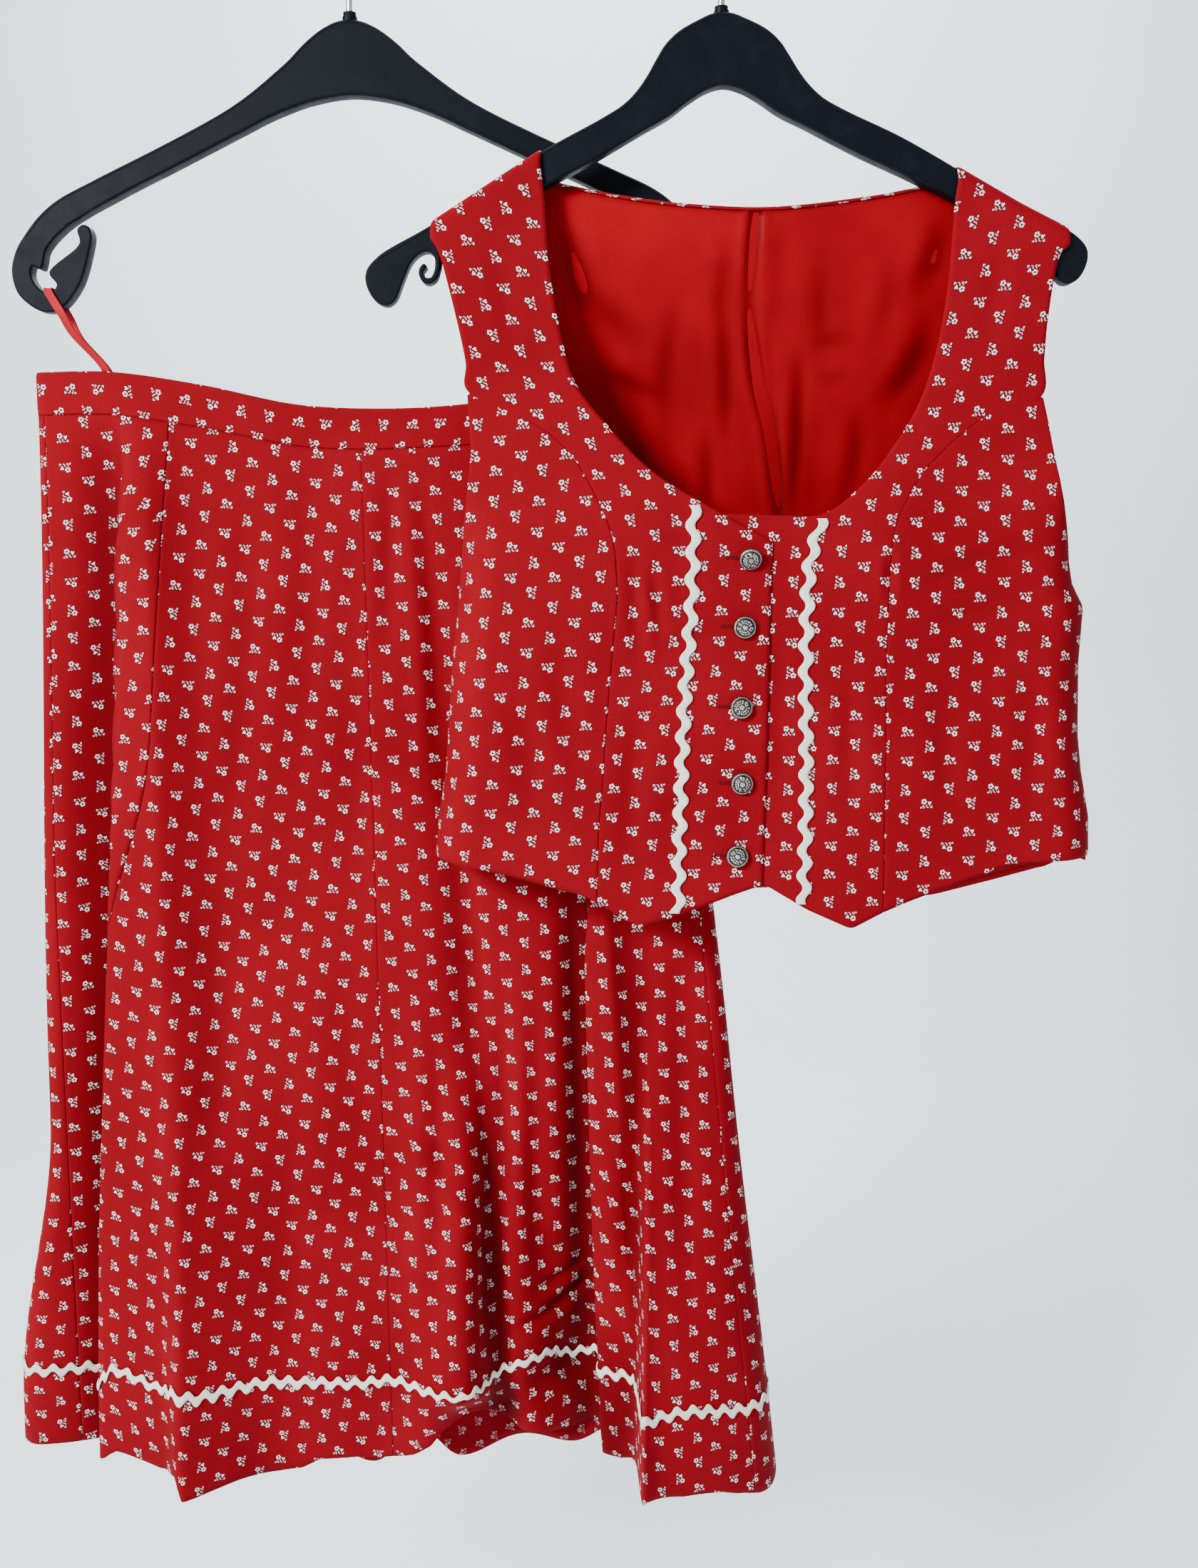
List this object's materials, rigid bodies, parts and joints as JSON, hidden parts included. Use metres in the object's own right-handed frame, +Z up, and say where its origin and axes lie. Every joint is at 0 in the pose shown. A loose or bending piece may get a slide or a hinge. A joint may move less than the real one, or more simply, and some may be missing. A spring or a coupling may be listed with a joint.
{
  "type": "trachten vest and gored skirt set on two clothes hangers",
  "caption": "Sleeveless buttoned vest and matching gored midi skirt in small-flowered red cotton with zigzag braid, each hung flat on a plastic clothes hanger.",
  "frame": {"origin": "inner crown of the vest hanger's hook, where the rail carries it", "axes": "+Z up, the longest way; +X across the set, to the right seen from the front; +Y from the front to the back"},
  "size_m": [0.7232, 0.1172, 1.0628],
  "materials": {
    "print_cotton": "matte plain-woven cotton, red with small off-white flower sprigs",
    "lining": "soft satin sheen, plain red",
    "braid": "matte ribbed rickrack",
    "loop_tape": "matte ribbed tape",
    "hanger_plastic": "satin black moulded plastic",
    "hook_steel": "polished wire",
    "old_silver": "antiqued silver, dark in the hollows"
  },
  "bodies": {
    "root": {"vest_hanger": "hanger_plastic", "skirt_hanger": "hanger_plastic", "vest_hanger_hook": "hook_steel", "skirt_hanger_hook": "hook_steel", "vest_front_centre_left": "print_cotton", "vest_front_side_left": "print_cotton", "vest_front_centre_right": "print_cotton", "vest_front_side_right": "print_cotton", "vest_back": "print_cotton", "vest_back_lining": "lining", "vest_braid_left": "braid", "vest_braid_right": "braid", "vest_button_1": "old_silver", "vest_button_2": "old_silver", "vest_button_3": "old_silver", "vest_button_4": "old_silver", "vest_button_5": "old_silver", "skirt_waistband_front": "print_cotton", "skirt_waistband_back": "print_cotton", "skirt_front_1": "print_cotton", "skirt_front_2": "print_cotton", "skirt_front_3": "print_cotton", "skirt_front_4": "print_cotton", "skirt_back_1": "print_cotton", "skirt_back_2": "print_cotton", "skirt_back_3": "print_cotton", "skirt_back_4": "print_cotton", "skirt_braid_front": "braid", "skirt_braid_back": "braid", "skirt_loop_left": "loop_tape", "skirt_loop_right": "loop_tape"}
  },
  "joints": []
}
